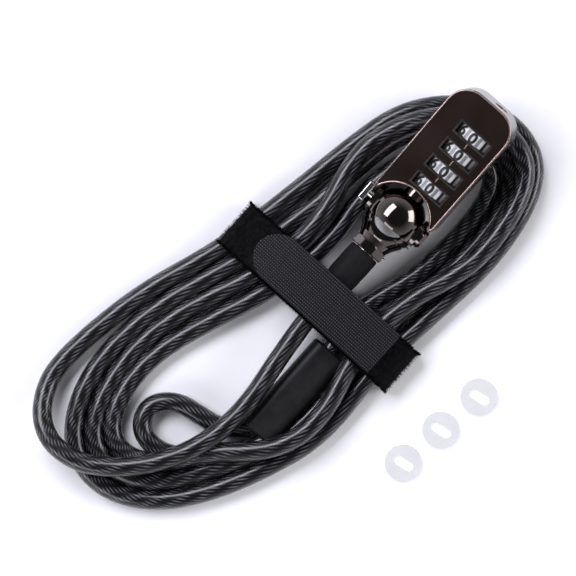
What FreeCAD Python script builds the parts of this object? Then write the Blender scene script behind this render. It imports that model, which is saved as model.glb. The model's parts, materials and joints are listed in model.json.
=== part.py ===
"""Laptop cable lock: a combination head on a coiled steel cable, tied with a hook-and-loop strap.

+X runs from the strap towards the lock head, +Z is up, and the origin is under the strap's middle
on the surface that the lock lies on. Sizes are in millimetres.
"""
import FreeCAD
import Part
import math
import os
from FreeCAD import Matrix, Placement, Rotation, Vector

os.makedirs("parts", exist_ok=True)

# Head: place and lie
knuckle_x = 34.0          # the nose axis, from the strap
knuckle_z = 11.0
head_roll = -5.0          # the whole head is turned a little about the cable
head_pitch = 14.0         # the case rises from the knuckle, over the cable

# Combination case
case_start = 3.7
case_end = 45.5
case_half_width = 11.3
case_bottom = -9.0
case_split = 3.0
case_top = 6.0
shell = 1.3
corner_radius = 7.5
foot_radius = 1.2
nose_clearance = 10.8     # radius of the case's concave end
rim_width = 0.7
rim_height = 0.35
gap = 0.05                # running fit
close_gap = 0.02          # seated fit

# Dials
dial_count = 4
dial_pitch = 6.6
dial_first = 14.1
rim_half_width = 1.65     # the numbered rim of a dial
hub_reach = 4.4           # its hub runs on towards the case's far end
hub_radius = 4.5
dial_radius = 6.7
dial_bore = 4.0
dial_axis_y = -2.3
dial_axis_z = -0.6
window_length = 11.2
window_mouth = 3.5
clutch_bore = 2.1
spindle_radius = 2.0
spindle_start = 12.6
spindle_end = 40.4
plunger_radius = 2.2
plunger_start = 42.4
follower_stroke = 1.05    # the first clutch starts later by this, to leave the cam follower room
screw_pillar = 2.1

# Nose
knuckle_radius = 8.8
knuckle_half_width = 7.4
knuckle_back = -2.5
barrel_radius = 3.9
barrel_half_length = 9.3
shaft_radius = 2.4
neck_radius = 3.5
neck_end = 12.1
follower_radius = 1.2
tee_length = 6.5
tee_width = 2.2
tee_height = 2.6
tee_middle = 12.0

# Yoke, collar, boot and cable end, from the nose axis
arm_inner = 7.6
arm_outer = 9.2
arm_radius = 5.25
yoke_half_height = 6.2
yoke_base = -9.2
collar_start = -11.2
collar_end = -14.2
collar_flats = 10.8
flange_radius = 4.0
ferrule_radius = 3.2
ferrule_end = -17.0
boot_start = -14.4
boot_end = -36.4
boot_radius = 5.0
boot_tip_radius = 4.2

# Cable
cable_diameter = 6.0
cable_radius = cable_diameter / 2
coil_middle = (-5.5, 3.0)
coil_turn = -11.0
coil_half_length = 93.0
coil_half_width = 35.5
coil_height = 6.6
coil_power = 2.3
coil_slack = [(-1, -74.0, 26.0, 10.0), (1, -56.0, 36.0, 6.5), (1, 66.0, 26.0, 9.0)]  # side, place, reach, amount
lead_route = [
    (17.0, 0.0, 11.0), (-1.0, 0.0, 11.0), (-20.0, -1.8, 10.5), (-40.0, -5.0, 10.0), (-58.0, -2.5, 9.9),
    (-74.0, 6.5, 9.9), (-85.0, 19.0, 9.9), (-87.0, 32.0, 9.9),
]
eye_route = [
    (-43.5, -15.9, 3.6), (-51.0, -13.2, 3.5), (-58.0, -7.5, 3.3), (-64.0, -1.0, 3.1), (-68.0, 7.0, 3.1),
    (-66.5, 15.0, 3.1), (-59.0, 18.0, 3.1), (-52.5, 12.5, 3.1), (-51.0, 4.0, 3.2), (-49.5, -4.0, 3.4),
    (-43.5, -9.7, 3.6),
]

# Eye sleeve
sleeve_start = -9.5
sleeve_end = -43.5
sleeve_y = -12.8
sleeve_width = 12.8
sleeve_height = 7.4
sleeve_z = 4.6

# Strap
strap_half_width = 8.0
strap_thickness = 1.2
strap_reach = 33.2
strap_middle = 1.3        # the strap lies a little to the +Y side
strap_side_top = 8.6
strap_crown = 16.4
tongue_thickness = 1.1
tongue_start = -25.0
tongue_round = 17.5       # middle of the tongue's round end

# Washers
washer_places = [(10.4, -56.1), (-5.0, -54.2), (-20.3, -52.4)]
washer_radius = 5.7
washer_thickness = 0.8
washer_slot = (7.0, 3.0)
washer_turn = -81.0

# Screws
screw_places = [(14.0, 8.1), (34.0, 8.1), (40.5, 4.6)]
screw_radius = 1.0
screw_head_radius = 1.7
screw_head_height = 1.1

yoke_place = Placement(Vector(knuckle_x, 0, knuckle_z), Rotation(Vector(1, 0, 0), head_roll))
head_place = yoke_place.multiply(Placement(Vector(), Rotation(Vector(0, 1, 0), -head_pitch)))


def save(name, shape, place=None):
    """Write one node, moved to its place."""
    shape = shape.copy()
    if place is not None:
        shape.Placement = place.multiply(shape.Placement)
    shape.exportStep(f"parts/{name}.step")
    box = shape.BoundBox
    print(f"{name}: {len(shape.Solids)} solid, {shape.Volume:.1f} mm3, valid {shape.isValid()}, "
          f"z {box.ZMin:.2f} to {box.ZMax:.2f}")


def rod(radius, start, end, y=0.0, z=0.0):
    """A cylinder along X."""
    return Part.makeCylinder(radius, end - start, Vector(start, y, z), Vector(1, 0, 0))


def cross_rod(radius, start, end, x=0.0, z=0.0):
    """A cylinder along Y."""
    return Part.makeCylinder(radius, end - start, Vector(x, start, z), Vector(0, 1, 0))


def post(radius, low, high, x=0.0, y=0.0):
    """A cylinder along Z."""
    return Part.makeCylinder(radius, high - low, Vector(x, y, low))


def block(x0, x1, y0, y1, z0, z1):
    return Part.makeBox(x1 - x0, y1 - y0, z1 - z0, Vector(x0, y0, z0))


def rounded_plan(inset, low, high):
    """The case's outline, moved inwards by inset and extruded from low to high."""
    body = block(case_start + inset, case_end - inset, inset - case_half_width,
                 case_half_width - inset, low, high)
    upright = [e for e in body.Edges if abs(e.Vertexes[0].Z - e.Vertexes[1].Z) > 0.1]
    far = [e for e in upright if e.Vertexes[0].X > case_end - inset - 0.1]
    near = [e for e in upright if e.Vertexes[0].X < case_start + inset + 0.1]
    body = body.makeFillet(corner_radius - inset, far)
    near = [e for e in body.Edges if abs(e.Vertexes[0].Z - e.Vertexes[-1].Z) > 0.1
            and abs(e.Vertexes[0].X - case_start - inset) < 0.1]
    body = body.makeFillet(max(foot_radius - inset, 0.3), near)
    return body.cut(post(nose_clearance + inset, low - 1, high + 1))


def dial_middle(k):
    return dial_first + k * dial_pitch


def case_body():
    body = rounded_plan(0, case_bottom, case_split)
    rim = [e for e in body.Edges if e.BoundBox.ZMax < case_bottom + 0.01]
    body = body.makeChamfer(0.6, rim)
    body = body.cut(rounded_plan(shell, case_bottom + shell, case_split + 1))
    body = body.cut(rod(neck_radius + close_gap, case_start, neck_end + 1))
    body = body.cut(rod(plunger_radius + gap, case_end - 3, case_end + 1, dial_axis_y, dial_axis_z))
    for x, y in screw_places:
        pillar = post(screw_pillar, case_bottom + shell - 0.2, case_split - 0.1, x, y)
        body = body.fuse(pillar)
        body = body.cut(post(screw_radius + gap, case_bottom - 1, case_split, x, y))
        body = body.cut(post(screw_head_radius + gap, case_bottom - 1, case_bottom + 1.2, x, y))
    bearing = block(spindle_end - 1.5, spindle_end - 0.5, -7.0, 2.4, case_bottom + shell - 0.2, 0.9)
    bearing = bearing.cut(rod(spindle_radius + gap, spindle_end - 3, spindle_end, dial_axis_y, dial_axis_z))
    return body.fuse(bearing)


def case_cover():
    cover = rounded_plan(0, case_split + 0.05, case_top)
    top = [e for e in cover.Edges if e.BoundBox.ZMin > case_top - 0.01]
    cover = cover.makeFillet(0.45, top)
    cover = cover.cut(rounded_plan(rim_width, case_top - rim_height, case_top + 1))
    cover = cover.cut(rounded_plan(shell, case_split - 1, case_top - rim_height - shell))
    for k in range(dial_count):
        x = dial_middle(k)
        half = window_mouth / 2
        reach = window_length / 2
        mouth = block(x - half, x + half, dial_axis_y - reach, dial_axis_y + reach, case_split, case_top + 1)
        cover = cover.cut(mouth)
    for x, y in screw_places:
        pillar = post(screw_pillar, case_split + 0.1, case_top - rim_height - shell + 0.2, x, y)
        cover = cover.fuse(pillar)
        cover = cover.cut(post(screw_radius + close_gap, case_split, case_top - 1.1, x, y))
    return cover.cut(rod(neck_radius + close_gap, case_start, neck_end + 1))


def dial(k):
    x = dial_middle(k)
    wheel = rod(dial_radius, x - rim_half_width, x + rim_half_width)
    wheel = wheel.makeChamfer(0.25, [e for e in wheel.Edges if isinstance(e.Curve, Part.Circle)])
    hub = rod(hub_radius, x + rim_half_width - 0.1, x + hub_reach)
    for step in range(10):
        notch = rod(0.4, x + rim_half_width + 0.3, x + hub_reach + 1, 0, hub_radius)
        notch.rotate(Vector(), Vector(1, 0, 0), 36 * step + 18)
        hub = hub.cut(notch)
    wheel = wheel.fuse(hub).cut(rod(dial_bore, x - 4, x + hub_reach + 1))
    wheel.translate(Vector(0, dial_axis_y, dial_axis_z))
    return wheel


def clutch(k):
    x = dial_middle(k)
    start = x - rim_half_width + (follower_stroke if k == 0 else 0.15)
    sleeve = rod(dial_bore - gap, start, x + hub_reach + 0.25)
    sleeve = sleeve.cut(rod(clutch_bore, x - 4, x + hub_reach + 1))
    sleeve = sleeve.cut(block(x - 4, x + hub_reach + 1, -0.5, 0.5, 0.6 - dial_bore, 0))
    sleeve.translate(Vector(0, dial_axis_y, dial_axis_z))
    return sleeve


def spindle():
    bar = rod(spindle_radius - gap, spindle_start, spindle_end)
    for k in range(dial_count):
        x = dial_middle(k) + 1.0
        bar = bar.cut(rod(spindle_radius + 1, x, x + 0.8).cut(rod(1.5, x, x + 0.8)))
    bar.translate(Vector(0, dial_axis_y, dial_axis_z))
    return bar


def coil_spring(radius, wire, start, end, turns):
    """A spring along X: a helix swept with a round wire."""
    pitch = (end - start - wire) / turns
    path = Part.makeHelix(pitch, end - start - wire, radius)
    ring = Part.Wire([Part.makeCircle(wire / 2, Vector(radius, 0, 0), Vector(0, 1, 0))])
    body = Part.Wire(path).makePipeShell([ring], True, True)
    body.Placement = Placement(Vector(start + wire / 2, dial_axis_y, dial_axis_z),
                               Rotation(Vector(0, 1, 0), 90))
    return body


def spindle_spring():
    return coil_spring(1.3, 0.35, spindle_end + 0.1, plunger_start - 0.05, 3)


def reset_plunger():
    head = rod(plunger_radius, plunger_start, case_end - 0.4, dial_axis_y, dial_axis_z)
    slot = block(case_end - 1.1, case_end, dial_axis_y - 1.6, dial_axis_y + 1.6,
                 dial_axis_z - 0.3, dial_axis_z + 0.3)
    return head.cut(slot)


def detent_leaf():
    leaf = block(16.0, 38.0, dial_axis_y - 1.6, dial_axis_y + 1.6, case_bottom + shell + 0.03,
                 case_bottom + shell + 0.25)
    return leaf


def ball_knuckle():
    ball = Part.makeSphere(knuckle_radius)
    ball = ball.common(block(knuckle_back, 20, -knuckle_half_width, knuckle_half_width, -20, 20))
    ball = ball.fuse(rod(neck_radius, 4, neck_end))
    ball = ball.cut(cross_rod(barrel_radius + gap, -20, 20))
    return ball.cut(rod(follower_radius + gap, 0, neck_end + 1))


def nose_barrel():
    barrel = cross_rod(barrel_radius, -barrel_half_length, barrel_half_length)
    barrel = barrel.cut(cross_rod(shaft_radius + gap, -20, 20))
    return barrel.cut(rod(follower_radius + gap, 0, 10))


def locking_shaft():
    shaft = cross_rod(shaft_radius, -barrel_half_length + 0.2, barrel_half_length - 0.1)
    return shaft.cut(block(1.9, 5, -1.6, 1.6, -5, 5))


def t_bar():
    stem = cross_rod(1.25, barrel_half_length - 0.1, tee_middle)
    half = tee_length / 2
    bar = block(-half, half, tee_middle - tee_width / 2, tee_middle + tee_width / 2,
                -tee_height / 2, tee_height / 2)
    bar = bar.makeFillet(0.5, bar.Edges)
    return bar.fuse(stem)


def barrel_cap():
    cap = cross_rod(3.3, -barrel_half_length - 1.7, -barrel_half_length - 0.02)
    outer = [e for e in cap.Edges if e.BoundBox.YMax < -barrel_half_length - 1.6]
    return cap.makeChamfer(0.7, outer)


def cam_follower():
    return rod(follower_radius, shaft_radius + 0.05, spindle_start - 0.05)


def turned(points):
    """A solid of revolution about X from (x, radius) points."""
    wire = Part.makePolygon([Vector(x, 0, r) for x, r in points + points[:1]])
    return Part.Face(wire).revolve(Vector(), Vector(1, 0, 0), 360)


def yoke():
    bell = turned([(collar_start, 0), (collar_start, 5.2), (-9.2, 6.0), (-6.6, 7.7), (-4.2, 8.9), (-2.5, arm_outer),
                   (0, arm_outer), (0, 0)])
    bell = bell.common(block(-20, 1, -20, 20, -yoke_half_height, yoke_half_height))
    for side in (-1, 1):
        near, far = sorted((side * arm_inner, side * arm_outer))
        bell = bell.fuse(cross_rod(arm_radius, near, far))
    room = Part.makeSphere(-yoke_base).common(block(-20, 20, -arm_inner, arm_inner, -20, 20))
    bell = bell.cut(room)
    bell = bell.cut(block(-0.01, 20, -arm_inner, arm_inner, -20, 20))
    bell = bell.cut(cross_rod(barrel_radius + gap, -20, 20))
    for step in (-4.4, -6.1):
        ring = turned([(step - 0.35, 0), (step - 0.35, 12), (step + 0.35, 12), (step + 0.35, 0)])
        inner = turned([(-12, 0), (-12, 4.6), (-9.2, 5.6), (-6.6, 7.35), (-4.2, 8.55), (-2.5, 8.9), (0, 8.9), (0, 0)])
        bell = bell.cut(ring.cut(inner))
    return bell


def collar():
    across = collar_flats / 2 / math.cos(math.pi / 8)
    corners = [Vector(collar_end, across * math.cos(math.radians(45 * i + 22.5)),
                      across * math.sin(math.radians(45 * i + 22.5))) for i in range(8)]
    nut = Part.Face(Part.makePolygon(corners + corners[:1])).extrude(Vector(collar_start - collar_end - 0.02, 0, 0))
    nut = nut.common(turned([(collar_end, 0), (collar_end, 5.2), (collar_end + 0.5, 5.8),
                             (collar_start - 0.5, 5.8), (collar_start, 5.4), (collar_start, 0)]))
    nut = nut.cut(rod(flange_radius + gap, collar_end + 1.2, collar_start + 1))
    nut = nut.cut(cross_rod(0.75, -20, 0, collar_start - 1.0))
    return nut.cut(rod(ferrule_radius + gap, collar_end - 1, collar_start))


def collar_pin():
    pin = cross_rod(0.75, -collar_flats / 2 - 0.45, -flange_radius - 0.15, collar_start - 1.0)
    return pin.cut(cross_rod(0.3, -20, -collar_flats / 2 - 0.1, collar_start - 1.0))


def ferrule():
    end = rod(flange_radius, collar_end + 1.25, collar_start - 0.1)
    return end.fuse(rod(ferrule_radius, ferrule_end, collar_end + 1.3))


def boot():
    sleeve = turned([(boot_start, 0), (boot_start, boot_radius - 0.3), (boot_start - 0.4, boot_radius),
                     (boot_start - 9, boot_radius), (boot_end + 1, boot_tip_radius),
                     (boot_end, boot_tip_radius - 0.5), (boot_end, 0)])
    sleeve = sleeve.cut(rod(ferrule_radius + close_gap, ferrule_end, boot_start + 1))
    sleeve = sleeve.cut(rod(cable_radius + close_gap, boot_end - 1, ferrule_end + 0.01))
    lead = tube(lead_route[:4], cable_radius + close_gap, "boot's bore")
    lead.Placement = yoke_place.inverse().multiply(lead.Placement)
    return sleeve.cut(lead)


def case_screws():
    screws = []
    for x, y in screw_places:
        shank = post(screw_radius, case_bottom + 0.5, case_top - 1.3, x, y)
        head = post(screw_head_radius, case_bottom + 0.08, case_bottom + screw_head_height, x, y)
        slot = block(x - 1.2, x + 1.2, y - 0.2, y + 0.2, case_bottom, case_bottom + 0.5)
        screws.append(shank.fuse(head).cut(slot))
    return Part.makeCompound(screws)


def tube(points, radius, name):
    """A round tube along straight runs, joined by arcs as large as the runs allow."""
    corners = [Vector(*p) for p in points]
    edges = []
    start = corners[0]
    radii = []
    for before, here, after in zip(corners, corners[1:], corners[2:]):
        back = (before - here).normalize()
        ahead = (after - here).normalize()
        half_turn = (math.pi - back.getAngle(ahead)) / 2
        setback = 0.45 * min((before - here).Length, (after - here).Length)
        radii.append(setback / math.tan(half_turn))
        first = here + back * setback
        last = here + ahead * setback
        towards = (back + ahead).normalize()
        centre = here + towards * (radii[-1] / math.cos(half_turn))
        middle = centre - towards * radii[-1]
        edges.append(Part.LineSegment(start, first).toShape())
        edges.append(Part.Arc(first, middle, last).toShape())
        start = last
    edges.append(Part.LineSegment(start, corners[-1]).toShape())
    path = Part.Wire(edges)
    way = (corners[1] - corners[0]).normalize()
    ring = Part.Wire([Part.makeCircle(radius, corners[0], way)])
    body = path.makePipeShell([ring], True, False, 2)
    share = body.Volume / (math.pi * radius ** 2 * path.Length)
    print(f"{name}: length {path.Length:.1f}, smallest radius {min(radii):.1f}, volume share {share:.3f}, "
          f"radii {[round(r) for r in radii]}")
    return body


def plan_curve(points, low, high):
    """A solid with a smooth closed outline, extruded from low to high."""
    curve = Part.BSplineCurve()
    curve.interpolate([Vector(x, y, low) for x, y in points], PeriodicFlag=True)
    return Part.Face(Part.Wire([curve.toShape()])).extrude(Vector(0, 0, high - low))


def coil_outline(length, width, count=24):
    """Points of the coil's plan: a superellipse, turned with the coil."""
    points = []
    turn = math.radians(coil_turn)
    for i in range(count):
        angle = 2 * math.pi * i / count
        along = length * math.copysign(abs(math.cos(angle)) ** (2 / coil_power), math.cos(angle))
        across = width * math.copysign(abs(math.sin(angle)) ** (2 / coil_power), math.sin(angle))
        x = coil_middle[0] + along * math.cos(turn) - across * math.sin(turn)
        y = coil_middle[1] + along * math.sin(turn) + across * math.cos(turn)
        for side, middle, reach, amount in coil_slack:
            y += side * amount * max(0, side * across / width) * math.exp(-((x - middle) / reach) ** 2)
        points.append((x, y))
    return points


def cable_coil():
    """The outer shape of the wound turns: a flat ring, open where the head and the eye lie."""
    ring = plan_curve(coil_outline(coil_half_length, coil_half_width), 0, coil_height)
    opening = [(57, -11), (51, -20), (40, -23.5), (27, -19), (14, -12), (4, -8.6), (-5, -12), (-10, -20.2),
               (-27, -20.4), (-44, -20.8), (-58, -13.5), (-69, -5), (-74.5, 7), (-73, 19), (-64, 26), (-47, 25),
               (-28, 18), (-12, 11), (4, 8.8), (18, 12), (32, 17), (46, 19), (57, 16), (63, 6)]
    ring = ring.cut(plan_curve(opening, -1, coil_height + 1))
    half = strap_half_width + 0.4
    within = Part.Face(strap_outline(-close_gap)).extrude(Vector(2 * half, 0, 0))
    within.translate(Vector(-half, strap_middle, 0))
    return ring.cut(block(-half, half, -60, 60, -1, 20).cut(within))


def eye_sleeve():
    low = sleeve_z - sleeve_height / 2
    body = block(sleeve_end, sleeve_start, sleeve_y - sleeve_width / 2, sleeve_y + sleeve_width / 2,
                 low, low + sleeve_height)
    body = body.makeFillet(3.4, [e for e in body.Edges if e.BoundBox.XLength > 30])
    ends = [e for e in body.Edges if e.BoundBox.XLength < 0.01]
    body = body.makeChamfer(0.6, ends)
    return body.cut(tube(eye_route, cable_radius + close_gap, "sleeve's mouths"))


def strap_outline(offset):
    """Half of the strap's section in the YZ plane, as an outline grown by offset."""
    reach = strap_reach + offset
    side = strap_side_top - 1.2 + offset
    crown = strap_crown + offset
    low = strap_thickness - offset
    points = [Vector(0, -reach + 2, low), Vector(0, reach - 2, low)]
    foot = Part.LineSegment(*points).toShape()
    right = Part.Arc(Vector(0, reach - 2, low), Vector(0, reach, (low + side) / 2),
                     Vector(0, reach - 2.5, side)).toShape()
    top = Part.Arc(Vector(0, reach - 2.5, side), Vector(0, 0, crown), Vector(0, -reach + 2.5, side)).toShape()
    left = Part.Arc(Vector(0, -reach + 2.5, side), Vector(0, -reach, (low + side) / 2),
                    Vector(0, -reach + 2, low)).toShape()
    return Part.Wire([foot, right, top, left])


def strap_band():
    outer = Part.Face(strap_outline(strap_thickness)).extrude(Vector(2 * strap_half_width, 0, 0))
    inner = Part.Face(strap_outline(0)).extrude(Vector(2 * strap_half_width, 0, 0))
    band = outer.cut(inner)
    band.translate(Vector(-strap_half_width, strap_middle, 0))
    return band


def strap_tongue():
    low = strap_thickness + gap
    outer = Part.Face(strap_outline(low + tongue_thickness)).extrude(Vector(2 * strap_half_width, 0, 0))
    inner = Part.Face(strap_outline(low)).extrude(Vector(2 * strap_half_width, 0, 0))
    sheet = outer.cut(inner)
    sheet.translate(Vector(-strap_half_width, strap_middle, 0))
    plan = block(-strap_half_width, strap_half_width, tongue_start, tongue_round, 8, 40)
    plan = plan.fuse(post(strap_half_width, 8, 40, 0, tongue_round))
    return sheet.common(plan)


def washer(place):
    x, y = place
    disc = post(washer_radius, 0, washer_thickness, x, y)
    long, wide = washer_slot
    half = (long - wide) / 2
    slot = block(x - half, x + half, y - wide / 2, y + wide / 2, -1, 2)
    slot = slot.fuse([post(wide / 2, -1, 2, x - half, y), post(wide / 2, -1, 2, x + half, y)])
    slot.rotate(Vector(x, y, 0), Vector(0, 0, 1), washer_turn)
    return disc.cut(slot)


for name, make in [("case_body", case_body), ("case_cover", case_cover), ("spindle", spindle),
                   ("spindle_spring", spindle_spring), ("reset_plunger", reset_plunger),
                   ("detent_leaf", detent_leaf), ("ball_knuckle", ball_knuckle), ("nose_barrel", nose_barrel),
                   ("locking_shaft", locking_shaft), ("t_bar", t_bar), ("barrel_cap", barrel_cap),
                   ("cam_follower", cam_follower), ("case_screws", case_screws)]:
    save(name, make(), head_place)
for k in range(dial_count):
    save(f"dial_{k + 1}", dial(k), head_place)
    save(f"clutch_{k + 1}", clutch(k), head_place)
for name, make in [("yoke", yoke), ("collar", collar), ("collar_pin", collar_pin), ("ferrule", ferrule),
                   ("boot", boot)]:
    save(name, make(), yoke_place)
save("cable_lead", tube(lead_route, cable_radius, "cable_lead"))
save("cable_coil", cable_coil())
save("eye_loop", tube(eye_route, cable_radius, "eye_loop"))
save("eye_sleeve", eye_sleeve())
save("strap_band", strap_band())
save("strap_tongue", strap_tongue())
for k, place in enumerate(washer_places):
    save(f"washer_{k + 1}", washer(place))
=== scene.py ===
import json
import math
import random

import bmesh
import bpy
from mathutils import Matrix, Vector


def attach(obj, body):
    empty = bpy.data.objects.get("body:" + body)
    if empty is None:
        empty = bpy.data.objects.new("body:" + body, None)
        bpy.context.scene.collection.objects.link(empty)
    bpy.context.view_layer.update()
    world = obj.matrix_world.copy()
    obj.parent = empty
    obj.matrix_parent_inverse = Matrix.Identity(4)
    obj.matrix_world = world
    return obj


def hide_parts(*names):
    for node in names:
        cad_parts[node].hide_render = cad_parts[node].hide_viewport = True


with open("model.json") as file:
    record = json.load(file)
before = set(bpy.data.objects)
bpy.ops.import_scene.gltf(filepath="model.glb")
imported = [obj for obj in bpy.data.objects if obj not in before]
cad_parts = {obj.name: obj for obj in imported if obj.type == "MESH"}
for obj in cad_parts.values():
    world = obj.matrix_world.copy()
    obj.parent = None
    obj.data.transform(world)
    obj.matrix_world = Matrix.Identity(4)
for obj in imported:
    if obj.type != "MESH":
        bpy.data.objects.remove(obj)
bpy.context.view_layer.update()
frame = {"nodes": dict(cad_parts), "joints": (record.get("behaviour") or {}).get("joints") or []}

print("frame loaded:", len(frame["nodes"]), "nodes")

mm = 0.001
nodes = frame["nodes"]
scene = bpy.context.scene


def link(name, mesh):
    piece = bpy.data.objects.new(name, mesh)
    scene.collection.objects.link(piece)
    return piece


def pieceFrom(name, bm, materials, smooth=True):
    bmesh.ops.recalc_face_normals(bm, faces=bm.faces)
    mesh = bpy.data.meshes.new(name)
    bm.to_mesh(mesh)
    bm.free()
    for material in materials:
        mesh.materials.append(material)
    if smooth:
        mesh.shade_smooth()
    return link(name, mesh)


def joint(name):
    return next(j for j in frame["joints"] if j["name"] == name)


# the head's own axes: x along the case, y along the nose, z out of the face
noseAxis = Vector(joint("t_bar_turn")["axis"]).normalized()
caseAxis = Vector(joint("dial_1_spin")["axis"]).normalized()
headMatrix = Matrix((caseAxis, noseAxis, caseAxis.cross(noseAxis))).transposed().to_4x4()
headMatrix.translation = Vector(joint("nose_pivot")["pos_m"])


def onHead(bm):
    bmesh.ops.transform(bm, matrix=headMatrix @ Matrix.Scale(mm, 4), verts=bm.verts)


def newGroup(name, inputs, outputs):
    group = bpy.data.node_groups.new(name, "ShaderNodeTree")
    for label, kind, value in inputs:
        socket = group.interface.new_socket(label, in_out="INPUT", socket_type=kind)
        if value is not None:
            socket.default_value = value
    for label, kind in outputs:
        group.interface.new_socket(label, in_out="OUTPUT", socket_type=kind)
    return group, group.nodes.new("NodeGroupInput"), group.nodes.new("NodeGroupOutput")


def addMath(tree, operation, a, b):
    node = tree.nodes.new("ShaderNodeMath")
    node.operation = operation
    for socket, value in zip(node.inputs, (a, b)):
        if isinstance(value, (int, float)):
            socket.default_value = value
        else:
            tree.links.new(value, socket)
    return node.outputs[0]


def addNoise(tree, vector, scale, detail=4.0):
    node = tree.nodes.new("ShaderNodeTexNoise")
    node.inputs["Detail"].default_value = detail
    tree.links.new(vector, node.inputs["Vector"])
    if isinstance(scale, (int, float)):
        node.inputs["Scale"].default_value = scale
    else:
        tree.links.new(scale, node.inputs["Scale"])
    return node.outputs["Fac"]


def makeGrain():
    # soft cloudy variation and a fine grain on top of it
    group, put, out = newGroup("surfaceGrain",
                               [("Vector", "NodeSocketVector", None), ("Scale", "NodeSocketFloat", 200.0)],
                               [("Cloud", "NodeSocketFloat"), ("Fine", "NodeSocketFloat")])
    cloud = addNoise(group, put.outputs["Vector"], put.outputs["Scale"])
    fineScale = addMath(group, "MULTIPLY", put.outputs["Scale"], 9.0)
    fine = addNoise(group, put.outputs["Vector"], fineScale, 2.0)
    group.links.new(cloud, out.inputs["Cloud"])
    group.links.new(fine, out.inputs["Fine"])
    return group


def makeStripe():
    # one family of slanted stripes on a tube's UV map, from 0 to 1
    group, put, out = newGroup("slantStripe",
                               [("Vector", "NodeSocketVector", None), ("Along", "NodeSocketFloat", 10.0),
                                ("Around", "NodeSocketFloat", 8.0)],
                               [("Stripe", "NodeSocketFloat")])
    split = group.nodes.new("ShaderNodeSeparateXYZ")
    group.links.new(put.outputs["Vector"], split.inputs[0])
    along = addMath(group, "MULTIPLY", split.outputs[0], put.outputs["Along"])
    around = addMath(group, "MULTIPLY", split.outputs[1], put.outputs["Around"])
    turns = addMath(group, "MULTIPLY", addMath(group, "ADD", along, around), 2 * math.pi)
    wave = addMath(group, "MULTIPLY", addMath(group, "SINE", turns, 0.0), 0.5)
    group.links.new(addMath(group, "ADD", wave, 0.5), out.inputs["Stripe"])
    return group


grainGroup = makeGrain()
stripeGroup = makeStripe()


def place(tree, group, vector, **values):
    node = tree.nodes.new("ShaderNodeGroup")
    node.node_tree = group
    tree.links.new(vector, node.inputs["Vector"])
    for label, value in values.items():
        node.inputs[label].default_value = value
    return node


def startMaterial(name, **values):
    material = bpy.data.materials.new(name)
    material.use_nodes = True
    tree = material.node_tree
    shader = tree.nodes["Principled BSDF"]
    for label, value in values.items():
        shader.inputs[label.replace("_", " ")].default_value = value
    where = tree.nodes.new("ShaderNodeTexCoord")
    return material, tree, shader, where


def ramp(tree, value, *stops):
    node = tree.nodes.new("ShaderNodeValToRGB")
    while len(node.color_ramp.elements) < len(stops):
        node.color_ramp.elements.new(0.5)
    for element, (at, colour) in zip(node.color_ramp.elements, stops):
        element.position = at
        element.color = (*colour, 1.0)
    tree.links.new(value, node.inputs[0])
    return node.outputs["Color"]


def spanOf(tree, value, low, high):
    node = tree.nodes.new("ShaderNodeMapRange")
    node.inputs["To Min"].default_value = low
    node.inputs["To Max"].default_value = high
    tree.links.new(value, node.inputs["Value"])
    return node.outputs["Result"]


def bump(tree, shader, height, strength, distance):
    node = tree.nodes.new("ShaderNodeBump")
    node.inputs["Strength"].default_value = strength
    node.inputs["Distance"].default_value = distance
    tree.links.new(height, node.inputs["Height"])
    tree.links.new(node.outputs["Normal"], shader.inputs["Normal"])


def plainFinish(name, dark, light, rough, grain=220.0, height=0.02, **values):
    # a colour that drifts between two shades, with uneven gloss and a fine grain
    material, tree, shader, where = startMaterial(name, **values)
    spots = place(tree, grainGroup, where.outputs["Object"], Scale=grain)
    tree.links.new(ramp(tree, spots.outputs["Cloud"], (0.3, dark), (0.7, light)), shader.inputs["Base Color"])
    tree.links.new(spanOf(tree, spots.outputs["Cloud"], *rough), shader.inputs["Roughness"])
    bump(tree, shader, spots.outputs["Fine"], 0.25, height * mm)
    return material


def cableJacket(name, length):
    # smoky clear jacket over a laid steel core: short slanting dashes deep in the black
    look = {"strandRise": 0.0088, "wireRise": 0.0030, "strands": 5, "wires": 17}
    material, tree, shader, where = startMaterial(name, Metallic=0.0, Coat_Weight=1.0, Coat_Roughness=0.2,
                                                  Coat_IOR=1.45, Specular_IOR_Level=0.12)
    uv = where.outputs["UV"]
    strand = place(tree, stripeGroup, uv, Along=length / look["strandRise"], Around=look["strands"])
    wire = place(tree, stripeGroup, uv, Along=length / look["wireRise"], Around=-look["wires"])
    spots = place(tree, grainGroup, where.outputs["Object"], Scale=330.0)
    dashes = addMath(tree, "MULTIPLY", addMath(tree, "POWER", wire.outputs["Stripe"], 1.6),
                     spanOf(tree, strand.outputs["Stripe"], 0.25, 1.0))
    core = addMath(tree, "MULTIPLY", dashes, spanOf(tree, spots.outputs["Cloud"], 0.1, 1.7))
    colour = ramp(tree, core, (0.04, (0.0012, 0.0012, 0.0016)), (0.32, (0.009, 0.009, 0.011)),
                  (0.9, (0.11, 0.108, 0.12)))
    tree.links.new(colour, shader.inputs["Base Color"])
    tree.links.new(spanOf(tree, core, 0.5, 0.3), shader.inputs["Roughness"])
    bump(tree, shader, strand.outputs["Stripe"], 0.35, 0.2 * mm)
    return material


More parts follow.
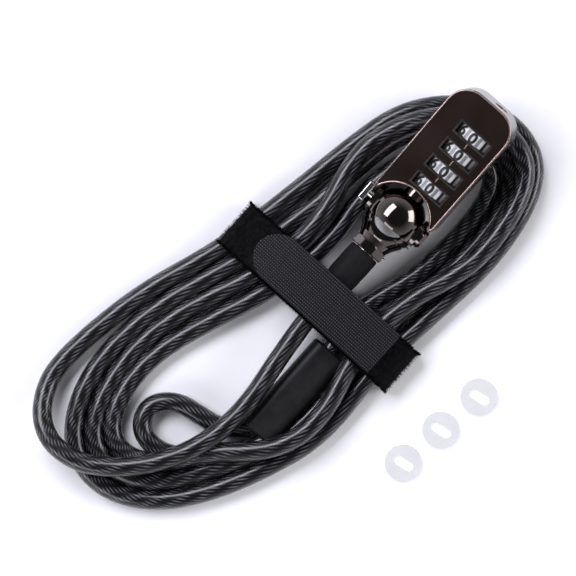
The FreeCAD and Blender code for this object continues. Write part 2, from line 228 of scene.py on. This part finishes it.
def wovenTape(name):
    # hook tape: rows of small loops set crosswise, on the strap's UV map in metres
    look = {"across": 0.00082, "along": 0.00068}
    material, tree, shader, where = startMaterial(name, Specular_IOR_Level=0.2)
    uv = where.outputs["UV"]
    rows = place(tree, stripeGroup, uv, Along=1 / look["across"], Around=0.0)
    lines = place(tree, stripeGroup, uv, Along=0.0, Around=1 / look["along"])
    spots = place(tree, grainGroup, where.outputs["Object"], Scale=400.0)
    cell = addMath(tree, "MULTIPLY", rows.outputs["Stripe"], lines.outputs["Stripe"])
    worn = addMath(tree, "MULTIPLY", cell, spanOf(tree, spots.outputs["Fine"], 0.55, 1.35))
    tree.links.new(ramp(tree, worn, (0.05, (0.0012, 0.0012, 0.0015)), (0.4, (0.004, 0.004, 0.005)),
                        (0.95, (0.08, 0.08, 0.095))), shader.inputs["Base Color"])
    tree.links.new(spanOf(tree, spots.outputs["Cloud"], 0.55, 0.8), shader.inputs["Roughness"])
    bump(tree, shader, cell, 0.9, 0.25 * mm)
    return material


gunmetal = plainFinish("gunmetal", (0.2, 0.14, 0.122), (0.27, 0.19, 0.165), (0.1, 0.2), grain=60.0,
                       height=0.0008, Metallic=1.0)
caseSide = plainFinish("caseSide", (0.2, 0.185, 0.18), (0.27, 0.25, 0.245), (0.16, 0.3), grain=120.0,
                       height=0.006, Metallic=1.0)
# the rim bead's metal, lighter than the cover's gunmetal: painted highlight along the case's edge
paintedHighlightRim = plainFinish("paintedHighlightRim", (0.3, 0.23, 0.21), (0.4, 0.31, 0.285), (0.14, 0.24), height=0.003,
                        Metallic=1.0)
indexBronze = plainFinish("indexBronze", (0.34, 0.25, 0.19), (0.44, 0.33, 0.26), (0.3, 0.45), height=0.003,
                          Metallic=1.0)
ribGrey = plainFinish("ribGrey", (0.035, 0.035, 0.038), (0.06, 0.06, 0.065), (0.35, 0.5), height=0.003)
blackChrome = plainFinish("blackChrome", (0.11, 0.095, 0.09), (0.19, 0.165, 0.158), (0.04, 0.12), grain=80.0,
                          height=0.002, Metallic=1.0)
brightChrome = plainFinish("brightChrome", (0.62, 0.62, 0.63), (0.78, 0.78, 0.78), (0.06, 0.16), height=0.002,
                           Metallic=1.0)
satinSteel = plainFinish("satinSteel", (0.42, 0.41, 0.4), (0.55, 0.54, 0.52), (0.22, 0.42), height=0.006,
                         Metallic=1.0)
turnedBrass = plainFinish("turnedBrass", (0.55, 0.4, 0.18), (0.68, 0.5, 0.24), (0.25, 0.42), height=0.006,
                          Metallic=1.0)
bootRubber = plainFinish("bootRubber", (0.004, 0.004, 0.0045), (0.009, 0.009, 0.0095), (0.6, 0.75), grain=500.0,
                         height=0.05, Specular_IOR_Level=0.12)
sleevePlastic = plainFinish("sleevePlastic", (0.002, 0.002, 0.0025), (0.006, 0.006, 0.007), (0.4, 0.6),
                            grain=300.0, height=0.05, Specular_IOR_Level=0.3)
pileBlack = plainFinish("pileBlack", (0.0012, 0.0012, 0.0014), (0.006, 0.006, 0.007), (0.8, 0.95), grain=900.0,
                        height=0.25, Specular_IOR_Level=0.1)
dialWhite = plainFinish("dialWhite", (0.46, 0.46, 0.47), (0.6, 0.6, 0.61), (0.25, 0.4), grain=300.0,
                        height=0.01)
digitBlack = plainFinish("digitBlack", (0.006, 0.006, 0.006), (0.015, 0.015, 0.015), (0.35, 0.5), height=0.01)
# near-black borders round the windows: painted shade at the window edges, where the dials drop below the face
windowShadeBlack = plainFinish("windowShadeBlack", (0.01, 0.009, 0.009), (0.022, 0.02, 0.02), (0.2, 0.34), height=0.01)
clearWasher = plainFinish("clearWasher", (0.84, 0.84, 0.86), (0.9, 0.9, 0.92), (0.3, 0.45), height=0.01,
                          Alpha=0.3)
print("materials made")


def makeCamera():
    view = {"middle": (-4.0, 10.0), "height": 650.0, "turn": -48.0, "width": 177.2, "sensor": 36.0}
    data = bpy.data.cameras.new("camera")
    data.sensor_width = view["sensor"]
    data.lens = view["sensor"] * view["height"] / view["width"]
    camera = bpy.data.objects.new("camera", data)
    camera.location = (view["middle"][0] * mm, view["middle"][1] * mm, view["height"] * mm)
    camera.rotation_euler = (0, 0, math.radians(view["turn"]))
    scene.collection.objects.link(camera)
    scene.camera = camera


makeCamera()

cable = {"radius": 3.0 * mm, "middle": (-5.5, 3.0), "turn": math.radians(-11.0), "halfLength": 89.5,
         "halfWidth": 32.3, "power": 2.3, "first": 0.155, "last": 3.66, "pointsPerTurn": 24, "inset": 6.3,
         "rest": 3.05, "slack": [(-1, -74.0, 26.0, 10.0), (1, -56.0, 36.0, 6.5), (1, 66.0, 26.0, 9.0)]}

# from the ferrule, round the far end and down onto the outside of the coil
leadRoute = [
    (17.0, 0.0, 11.0), (-1.0, 0.0, 11.0), (-20.0, -1.8, 10.5), (-40.0, -5.0, 10.0), (-58.0, -2.5, 9.9),
    (-74.0, 6.5, 9.9), (-85.0, 19.0, 9.9), (-87.5, 30.5, 9.2),
]
leadDown = [(-84.5, 38.5, 7.4), (-78.0, 43.8, 5.2), (-69.5, 46.6, 3.6)]
tailRoute = [
    (23.0, -16.2, 3.3), (13.0, -12.8, 3.9), (5.0, -10.6, 4.4), (-2.0, -10.4, 4.6), (-7.5, -12.1, 4.6),
    (-13.5, -12.8, 4.6),
]
eyeRoute = [
    (-43.5, -15.9, 3.6), (-51.0, -13.2, 3.5), (-58.0, -7.5, 3.3), (-64.0, -1.0, 3.1), (-68.0, 7.0, 3.1),
    (-66.5, 15.0, 3.1), (-59.0, 18.0, 3.1), (-52.5, 12.5, 3.1), (-51.0, 4.0, 3.2), (-49.5, -4.0, 3.4),
    (-43.5, -9.7, 3.6),
]
# where the three strands beside the sleeve lie: the third rides on the other two
besideSleeve = [(-28.2, 0.0), (-22.2, 0.0), (-24.6, 5.9)]


def easeIn(value, low, high):
    share = min(1.0, max(0.0, (value - low) / (high - low)))
    return share * share * (3 - 2 * share)


def coilPoint(turned):
    # one point of the winding, turned being the number of turns from the coil's far left
    angle = math.pi * (1 - 2 * turned)
    along = math.copysign(abs(math.cos(angle)) ** (2 / cable["power"]), math.cos(angle))
    across = math.copysign(abs(math.sin(angle)) ** (2 / cable["power"]), math.sin(angle))
    # towards the lock the third turn climbs onto the first two, and the fourth closes up beside them
    ring = int(turned + 0.001)
    reach = 90 * along
    tighter = {2: 9.4, 3: 6.2}.get(ring, 0.0) * easeIn(reach, 18, 48)
    climb = (5.2 if ring == 2 else 0.0) * easeIn(reach, 4, 28)
    inset = cable["inset"] * turned - tighter
    x = (cable["halfLength"] - inset * (1.1 if along > 0 else 0.98)) * along
    y = (cable["halfWidth"] - inset) * across
    cosine, sine = math.cos(cable["turn"]), math.sin(cable["turn"])
    px = cable["middle"][0] + x * cosine - y * sine
    py = cable["middle"][1] + x * sine + y * cosine
    for side, middle, reach, amount in cable["slack"]:
        py += side * amount * max(0, side * across) * math.exp(-((px - middle) / reach) ** 2)
    pz = cable["rest"] + 1.35 * math.exp(-(px / 17) ** 2) + climb
    waist = math.exp(-(px / 24) ** 2)
    if across > 0:
        py -= 3.4 * waist * across
        py += 0.8 * math.sin(px / 11 + 2.1 * turned) * across * (1 - waist)
        return px, py, pz
    py -= 2.0 * waist * across
    besides = math.exp(-((px + 26) / 25) ** 4) if turned < 3 else 0.0
    raised = math.exp(-((px + 32) / 33) ** 4) if turned < 3 else 0.0
    sideY, lift = besideSleeve[min(ring, 2)]
    py += (sideY - py) * besides
    return px, py, pz + lift * raised


def coilTurns():
    first, last = cable["first"], cable["last"]
    count = round((last - first) * cable["pointsPerTurn"])
    return [coilPoint(first + (last - first) * i / count) for i in range(count + 1)]


def tubeFrom(name, points, length=None):
    # the route's smooth line, and a tube of real size along it
    data = bpy.data.curves.new(name, "CURVE")
    data.dimensions = "3D"
    data.resolution_u = 5
    spline = data.splines.new("NURBS")
    spline.points.add(len(points) - 1)
    for point, where in zip(spline.points, points):
        point.co = (*(c * mm for c in where), 1.0)
    spline.order_u = 3
    spline.use_endpoint_u = True
    bare = bpy.data.objects.new("bareLine", data)
    line = [v.co.copy() for v in bpy.data.meshes.new_from_object(bare).vertices]
    data.bevel_depth = cable["radius"]
    data.bevel_resolution = 5
    data.use_fill_caps = True
    mesh = bpy.data.meshes.new_from_object(bare)
    mesh.name = name
    bpy.data.objects.remove(bare)
    run = sum((b - a).length for a, b in zip(line, line[1:]))
    mesh.materials.clear()
    mesh.materials.append(cableJacket(name + "Jacket", run))
    mesh.shade_smooth()
    return link(name, mesh), line, run


cablePiece, cableLine, cableLength = tubeFrom("cable", leadRoute + leadDown + coilTurns() + tailRoute)
eyePiece, eyeLine, eyeLength = tubeFrom("cableEye", eyeRoute)
print(f"cable: {cableLength:.3f} m, eye {eyeLength:.3f} m")
for piece in (cablePiece, eyePiece):
    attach(piece, "cable")
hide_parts("cable_lead", "cable_coil")
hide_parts("eye_loop")

strap = {"halfWidth": 8.0, "middle": 1.3, "reach": 33.8, "low": 0.6, "side": 8.0, "crown": 17.0, "thick": 1.1,
         "tongueLow": -25.0, "tongueHigh": 25.5, "tongueShift": 0.5}


def crownArc(lift):
    # the arc over the bundle: its centre height and radius
    half = strap["reach"] - 2.5
    rise = strap["crown"] - strap["side"]
    radius = (half ** 2 + rise ** 2) / (2 * rise)
    return strap["crown"] - radius, radius + lift


def strapSection(steps=64):
    middle, radius = crownArc(0.0)
    half = strap["reach"] - 2.5
    spread = math.asin(half / radius)
    top = [(radius * math.sin(spread * (2 * i / steps - 1)), middle + radius * math.cos(spread * (2 * i / steps - 1)))
           for i in range(steps + 1)]
    sideMiddle = (strap["low"] + strap["side"]) / 2
    sideHalf = (strap["side"] - strap["low"]) / 2
    right = [(half + 2.4 * math.sin(math.pi * i / 8), sideMiddle + sideHalf * math.cos(math.pi * i / 8))
             for i in range(1, 8)]
    under = [(half * (1 - 2 * i / 30), strap["low"]) for i in range(31)]
    left = [(-y, z) for y, z in reversed(right)]
    return [(y + strap["middle"], z) for y, z in top + right + under + left]


def makeBand():
    bm = bmesh.new()
    rim = [bm.verts.new((-strap["halfWidth"] + 0.2, y, z)) for y, z in strapSection()]
    edges = [bm.edges.new(pair) for pair in zip(rim, rim[1:] + rim[:1])]
    rows = 10
    for _ in range(rows):
        grown = bmesh.ops.extrude_edge_only(bm, edges=edges)["geom"]
        edges = [e for e in grown if isinstance(e, bmesh.types.BMEdge)]
        fresh = [v for v in grown if isinstance(v, bmesh.types.BMVert)]
        bmesh.ops.translate(bm, verts=fresh, vec=(2 * (strap["halfWidth"] - 0.2) / rows, 0, 0))
    draw = random.Random(4)
    for vert in bm.verts:
        if vert.co.z > 1.2:
            vert.co.z += draw.uniform(-0.12, 0.12)
    bmesh.ops.scale(bm, vec=(mm, mm, mm), verts=bm.verts)
    band = pieceFrom("strapBand", bm, [pileBlack])
    thick = band.modifiers.new("thick", "SOLIDIFY")
    thick.thickness = strap["thick"] * mm
    thick.offset = 0.0
    return band


def makePile():
    # short bent fibres standing on the band, thickest where the tongue leaves it bare
    fibres = {"count": 26000, "length": (0.6, 1.5), "width": 0.055}
    draw = random.Random(11)
    section = strapSection()
    bm = bmesh.new()
    for _ in range(fibres["count"]):
        i = draw.randrange(len(section) - 1)
        (y0, z0), (y1, z1) = section[i], section[i + 1]
        if max(z0, z1) < 1.5:
            continue
        t = draw.random()
        y, z = y0 + (y1 - y0) * t, z0 + (z1 - z0) * t
        edge = draw.random() < 0.45
        x = draw.choice((-1, 1)) * draw.uniform(7.2, 8.0) if edge else draw.uniform(-7.9, 7.9)
        if strap["tongueLow"] < y < strap["tongueHigh"] - 1 and abs(x) < 7.2:
            continue
        away = Vector((0, -(z1 - z0), y1 - y0)).normalized() * -1
        if away.dot(Vector((0, y, z - 5))) < 0:
            away = -away
        sideways = math.copysign(draw.uniform(0.3, 1.9), x) if edge else draw.uniform(-0.6, 0.6)
        side = Vector((sideways, draw.uniform(-0.7, 0.7), draw.uniform(-0.2, 0.3)))
        lean = (away + side * draw.uniform(0.3, 1.0)).normalized()
        root = Vector((x, y, z)) + away * 0.35
        reach = draw.uniform(*fibres["length"])
        bend = root + away * reach * 0.45
        tip = bend + lean * reach * 0.55
        tip.z = max(tip.z, 0.2)
        flat = lean.cross(Vector((draw.uniform(-1, 1), draw.uniform(-1, 1), 0.3))).normalized() * fibres["width"]
        a, b = bm.verts.new(root - flat), bm.verts.new(root + flat)
        c, d = bm.verts.new(bend + flat), bm.verts.new(bend - flat)
        bm.faces.new((a, b, c, d))
        bm.faces.new((d, c, bm.verts.new(tip)))
    bmesh.ops.scale(bm, vec=(mm, mm, mm), verts=bm.verts)
    return pieceFrom("strapPile", bm, [pileBlack], smooth=False)


def makeTongue():
    bm = bmesh.new()
    bmesh.ops.create_grid(bm, x_segments=28, y_segments=120, size=0.5, calc_uvs=True)
    layer = bm.loops.layers.uv.verify()
    middle, radius = crownArc(1.45)
    roundStart = strap["tongueHigh"] - strap["halfWidth"]
    for vert in bm.verts:
        y = strap["tongueLow"] + (vert.co.y + 0.5) * (strap["tongueHigh"] - strap["tongueLow"])
        past = max(0.0, (y - roundStart) / strap["halfWidth"])
        half = (strap["halfWidth"] - 0.5) * math.sqrt(max(0.0, 1 - min(past, 0.999) ** 2))
        x = vert.co.x * 2 * half + strap["tongueShift"]
        dip = 0.35 * (abs(vert.co.x) * 2) ** 6 + 0.5 * max(0.0, (-18 - y) / 9) ** 2
        angle = math.asin((y - strap["middle"]) / radius)
        vert.co = (x, strap["middle"] + (radius - dip) * math.sin(angle), middle + (radius - dip) * math.cos(angle))
    for face in bm.faces:
        for loop in face.loops:
            loop[layer].uv = (loop.vert.co.x * mm, loop.vert.co.y * mm)
    bmesh.ops.scale(bm, vec=(mm, mm, mm), verts=bm.verts)
    tongue = pieceFrom("strapTongue", bm, [wovenTape("wovenTape")])
    thick = tongue.modifiers.new("thick", "SOLIDIFY")
    thick.thickness = 0.9 * mm
    thick.offset = 0.0
    edge = tongue.modifiers.new("edge", "BEVEL")
    edge.width = 0.25 * mm
    edge.segments = 2
    return tongue


bandPiece = makeBand()
pilePiece = makePile()
tonguePiece = makeTongue()
for piece in (bandPiece, pilePiece, tonguePiece):
    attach(piece, "cable")
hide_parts("strap_band")
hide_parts("strap_tongue")
print("strap made")

case = {"start": 3.7, "end": 45.5, "halfWidth": 11.3, "top": 6.0, "plate": 5.65, "corner": 7.5, "nose": 10.8,
        "dialFirst": 14.1, "dialPitch": 6.6, "dialY": -2.3, "dialZ": -0.6, "dialRadius": 6.7,
        "window": (3.5, 11.2), "border": 0.55, "dials": 4}


def boxIn(bm, middle, size, material=0):
    made = bmesh.ops.create_cube(bm, size=1.0, matrix=Matrix.Translation(middle) @ Matrix.Diagonal((*size, 1.0)))
    for face in {f for v in made["verts"] for f in v.link_faces}:
        face.material_index = material
    return made["verts"]


def makeRim():
    # a thin bead round the face plate, in a metal lighter than the cover's: painted highlight along the rim's edge
    inset = 0.35
    far, near = case["end"] - inset, case["start"] + inset
    side, turn = case["halfWidth"] - inset, case["corner"] - inset
    outline = []
    noseReach = case["nose"] + inset
    start = math.acos(min(1.0, (near + 0.4) / noseReach))
    for i in range(25):
        angle = start * (2 * i / 24 - 1)
        outline.append((noseReach * math.cos(angle), noseReach * math.sin(angle)))
    outline.append((near + 1.2, side))
    for i in range(13):
        angle = math.pi / 2 * (1 - i / 12)
        outline.append((far - turn + turn * math.cos(angle), side - turn + turn * math.sin(angle)))
    for i in range(13):
        angle = -math.pi / 2 * i / 12
        outline.append((far - turn + turn * math.cos(angle), turn - side + turn * math.sin(angle)))
    outline.append((near + 1.2, -side))
    data = bpy.data.curves.new("rim", "CURVE")
    data.dimensions = "3D"
    spline = data.splines.new("POLY")
    spline.points.add(len(outline) - 1)
    for point, (x, y) in zip(spline.points, outline):
        point.co = (x, y, case["top"] - 0.06, 1.0)
    spline.use_cyclic_u = True
    data.bevel_depth = 0.26
    data.bevel_resolution = 3
    holder = bpy.data.objects.new("rim", data)
    bm = bmesh.new()
    bm.from_mesh(bpy.data.meshes.new_from_object(holder))
    bpy.data.objects.remove(holder)
    onHead(bm)
    return pieceFrom("coverRim", bm, [paintedHighlightRim])


def dialX(k):
    return case["dialFirst"] + k * case["dialPitch"]


def makeFrames():
    # raised near-black borders round each window: painted shade along the window edges, where the dials drop away
    # below the face
    bm = bmesh.new()
    wide, long = (s + 2 * case["border"] for s in case["window"])
    for k in range(case["dials"]):
        here = Matrix.Translation((dialX(k), case["dialY"], case["plate"] + 0.1)) @ Matrix.Diagonal((wide, long, 1, 1))
        made = bmesh.ops.create_grid(bm, x_segments=1, y_segments=1, size=0.5, matrix=here)
        face = made["verts"][0].link_faces[0]
        bmesh.ops.inset_region(bm, faces=[face], thickness=case["border"], use_boundary=True,
                               use_even_offset=True)
        bmesh.ops.delete(bm, geom=[face], context="FACES")
    body = bmesh.ops.extrude_face_region(bm, geom=list(bm.faces))["geom"]
    bmesh.ops.translate(bm, verts=[v for v in body if isinstance(v, bmesh.types.BMVert)], vec=(0, 0, -0.35))
    onHead(bm)
    frames = pieceFrom("windowShadeFrames", bm, [windowShadeBlack], smooth=False)
    edge = frames.modifiers.new("edge", "BEVEL")
    edge.width = 0.07 * mm
    edge.segments = 2
    return frames


def makeIndexLines():
    bm = bmesh.new()
    for k in range(case["dials"] - 1):
        middle = (dialX(k) + case["dialPitch"] / 2, case["dialY"], case["plate"] + 0.02)
        boxIn(bm, middle, (1.7, 0.34, 0.12))
    bmesh.ops.bevel(bm, geom=list(bm.edges), offset=0.04, segments=2, profile=0.5, affect="EDGES", material=-1)
    onHead(bm)
    return pieceFrom("indexLines", bm, [indexBronze], smooth=False)


def digitMesh(number):
    data = bpy.data.curves.new("digit", "FONT")
    data.body = str(number)
    data.size = 4.7
    data.extrude = 0.09
    data.offset = 0.2
    data.align_x = "CENTER"
    data.align_y = "CENTER"
    holder = bpy.data.objects.new("digit", data)
    mesh = bpy.data.meshes.new_from_object(holder)
    bpy.data.objects.remove(holder)
    middle = (max(v.co.x for v in mesh.vertices) + min(v.co.x for v in mesh.vertices)) / 2
    level = (max(v.co.y for v in mesh.vertices) + min(v.co.y for v in mesh.vertices)) / 2
    mesh.transform(Matrix.Translation((-middle, -level, 0)))
    return mesh


def bendOnDial(bm, verts, k, around):
    # flat shapes (right, up, out) are wrapped round a dial's rim
    for vert in verts:
        right, up, out = vert.co
        radius = case["dialRadius"] + out
        angle = right / case["dialRadius"] - around
        vert.co = (dialX(k) - up, case["dialY"] + radius * math.sin(angle), case["dialZ"] + radius * math.cos(angle))


def makeDialMarks(k):
    bm = bmesh.new()
    for number in range(10):
        before = set(bm.verts)
        bm.from_mesh(digitMesh(number))
        fresh = [v for v in bm.verts if v not in before]
        for face in {f for v in fresh for f in v.link_faces}:
            face.material_index = 0
        bendOnDial(bm, fresh, k, math.radians(36 * number))
        for slip in (-0.36, 0.0, 0.36):
            ribs = boxIn(bm, (slip, 0, 0.0), (0.15, 3.0, 0.2), 1)
            bendOnDial(bm, ribs, k, math.radians(36 * number + 18))
    bmesh.ops.remove_doubles(bm, verts=bm.verts, dist=0.001)
    onHead(bm)
    return pieceFrom(f"dialMarks{k + 1}", bm, [digitBlack, ribGrey], smooth=False)


for piece in (makeRim(), makeFrames(), makeIndexLines()):
    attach(piece, "head")
for k in range(case["dials"]):
    marks = makeDialMarks(k)
    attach(marks, f"dial_{k + 1}")
print("case details made")

finishes = {
    "case_cover": gunmetal, "case_body": caseSide, "ball_knuckle": blackChrome, "nose_barrel": blackChrome,
    "barrel_cap": blackChrome, "yoke": blackChrome, "collar": blackChrome, "collar_pin": brightChrome,
    "t_bar": brightChrome, "boot": bootRubber, "eye_sleeve": sleevePlastic, "spindle": turnedBrass,
}
for name, node in nodes.items():
    finish = finishes.get(name, satinSteel)
    if name.startswith("dial"):
        finish = dialWhite
    if name.startswith("clutch"):
        finish = turnedBrass
    if name.startswith("washer"):
        finish = clearWasher
    for index in range(max(1, len(node.data.materials))):
        if node.data.materials:
            node.material_slots[index].material = finish
        else:
            node.data.materials.append(finish)


def makeFloor():
    bm = bmesh.new()
    bmesh.ops.create_grid(bm, x_segments=1, y_segments=1, size=2.0)
    paper = plainFinish("paper", (0.86, 0.86, 0.875), (0.88, 0.88, 0.895), (0.7, 0.85), height=0.01)
    floor = pieceFrom("floor", bm, [paper], smooth=False)


def softBox(name, where, size, power, colour):
    data = bpy.data.lights.new(name, "AREA")
    data.shape = "RECTANGLE"
    data.size, data.size_y = size
    data.energy = power
    data.color = colour
    light = bpy.data.objects.new(name, data)
    light.location = where
    light.rotation_euler = (-Vector(where)).to_track_quat("-Z", "Y").to_euler()
    scene.collection.objects.link(light)


makeFloor()
softBox("topLeft", (0.02, 0.5, 0.6), (0.75, 0.3), 7.0, (0.9, 0.9, 1.0))
softBox("right", (0.45, -0.45, 0.4), (0.5, 0.3), 3.0, (0.96, 0.96, 1.0))
softBox("left", (-0.6, 0.0, 0.35), (0.5, 0.3), 1.5, (0.96, 0.96, 1.0))


def makeSky():
    # bright all round and dim overhead, so that glossy black parts stay black from above
    world = scene.world or bpy.data.worlds.new("world")
    scene.world = world
    world.use_nodes = True
    tree = world.node_tree
    where = tree.nodes.new("ShaderNodeTexCoord")
    split = tree.nodes.new("ShaderNodeSeparateXYZ")
    tree.links.new(where.outputs["Generated"], split.inputs[0])
    height = tree.nodes.new("ShaderNodeMapRange")
    height.inputs["From Min"].default_value = 0.25
    height.inputs["From Max"].default_value = 0.8
    height.inputs["To Min"].default_value = 0.75
    height.inputs["To Max"].default_value = 0.06
    tree.links.new(split.outputs[2], height.inputs["Value"])
    sky = tree.nodes["Background"]
    sky.inputs["Color"].default_value = (0.96, 0.96, 1.0, 1.0)
    tree.links.new(height.outputs["Result"], sky.inputs["Strength"])


makeSky()
scene.view_settings.view_transform = "Standard"
print("stage made")
